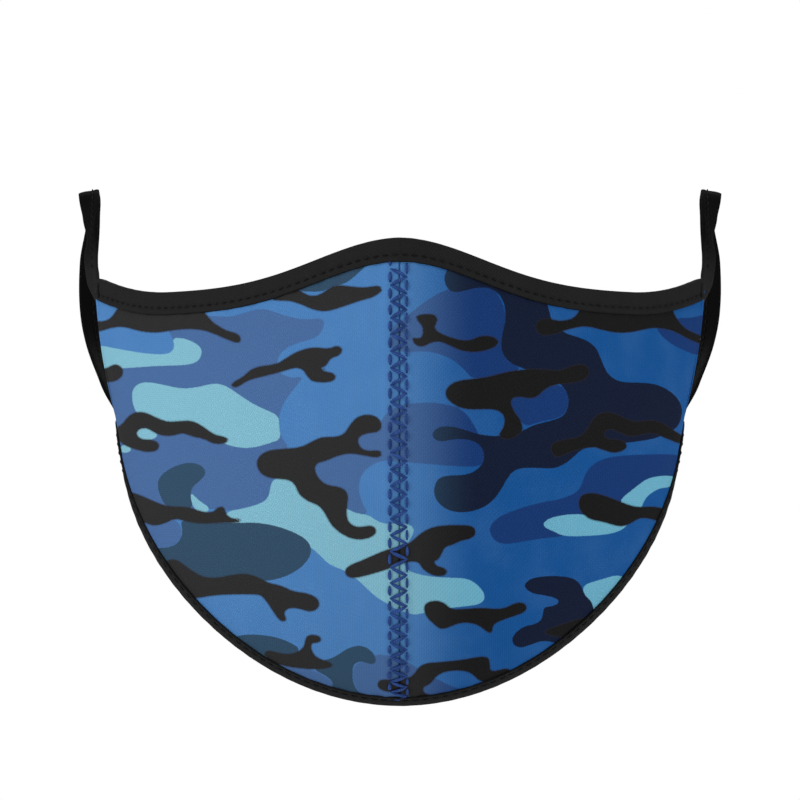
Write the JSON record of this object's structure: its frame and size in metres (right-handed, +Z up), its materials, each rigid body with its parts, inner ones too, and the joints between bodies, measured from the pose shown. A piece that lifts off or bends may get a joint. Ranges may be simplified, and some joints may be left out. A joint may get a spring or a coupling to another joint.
{
  "type": "face mask",
  "caption": "Contoured cloth face mask in blue camouflage, with two panels joined by a centre flatlock seam, black bound edges and tape ear loops.",
  "frame": {"origin": "middle of the face seat: the centre seam's plane, between the two side edges of the mask", "axes": "+Z up, -Y out of the front of the mask, +X towards the wearer's left ear"},
  "size_m": [0.1712, 0.1179, 0.1345],
  "materials": {
    "printed_knit": "matte",
    "filter_cloth": "matte",
    "lining_cloth": "matte",
    "binding_tape": "matte",
    "dark_thread": "matte",
    "blue_thread": "matte"
  },
  "bodies": {
    "left_half": {"outer_panel_left": "printed_knit", "filter_layer_left": "filter_cloth", "lining_left": "lining_cloth", "top_binding_left": "binding_tape", "bottom_binding_left": "binding_tape", "side_hem_left": "printed_knit", "loop_tab_left": "binding_tape", "top_binding_stitching_left": "dark_thread", "bottom_binding_stitching_left": "dark_thread", "seam_stitching_left": "blue_thread", "seam_looper_stitching_left": "blue_thread", "bar_tack_left": "dark_thread"},
    "right_half": {"outer_panel_right": "printed_knit", "filter_layer_right": "filter_cloth", "lining_right": "lining_cloth", "top_binding_right": "binding_tape", "bottom_binding_right": "binding_tape", "side_hem_right": "printed_knit", "loop_tab_right": "binding_tape", "top_binding_stitching_right": "dark_thread", "bottom_binding_stitching_right": "dark_thread", "seam_stitching_right": "blue_thread", "seam_looper_stitching_right": "blue_thread", "bar_tack_right": "dark_thread"},
    "loop_left": {"ear_loop_left": "binding_tape", "ear_loop_stitching_left": "dark_thread"},
    "loop_right": {"ear_loop_right": "binding_tape", "ear_loop_stitching_right": "dark_thread"}
  },
  "joints": [
    {"name": "centre_fold", "type": "hinge", "parent": "left_half", "child": "right_half", "pos_m": [0, -0.0334, -0.06], "axis": [0, -0.2237, 0.9747], "range_deg": [0, 56], "stiffness_Nm_per_rad": 0.05},
    {"name": "ear_loop_left_swing", "type": "hinge", "parent": "left_half", "child": "loop_left", "pos_m": [-0.072, -0.006, 0.0122], "axis": [-0.1921, 0.2668, 0.9444], "range_deg": [-75, 60], "stiffness_Nm_per_rad": 0.006},
    {"name": "ear_loop_right_swing", "type": "hinge", "parent": "right_half", "child": "loop_right", "pos_m": [0.072, -0.006, 0.0122], "axis": [-0.1921, -0.2668, -0.9444], "range_deg": [-75, 60], "stiffness_Nm_per_rad": 0.006}
  ]
}
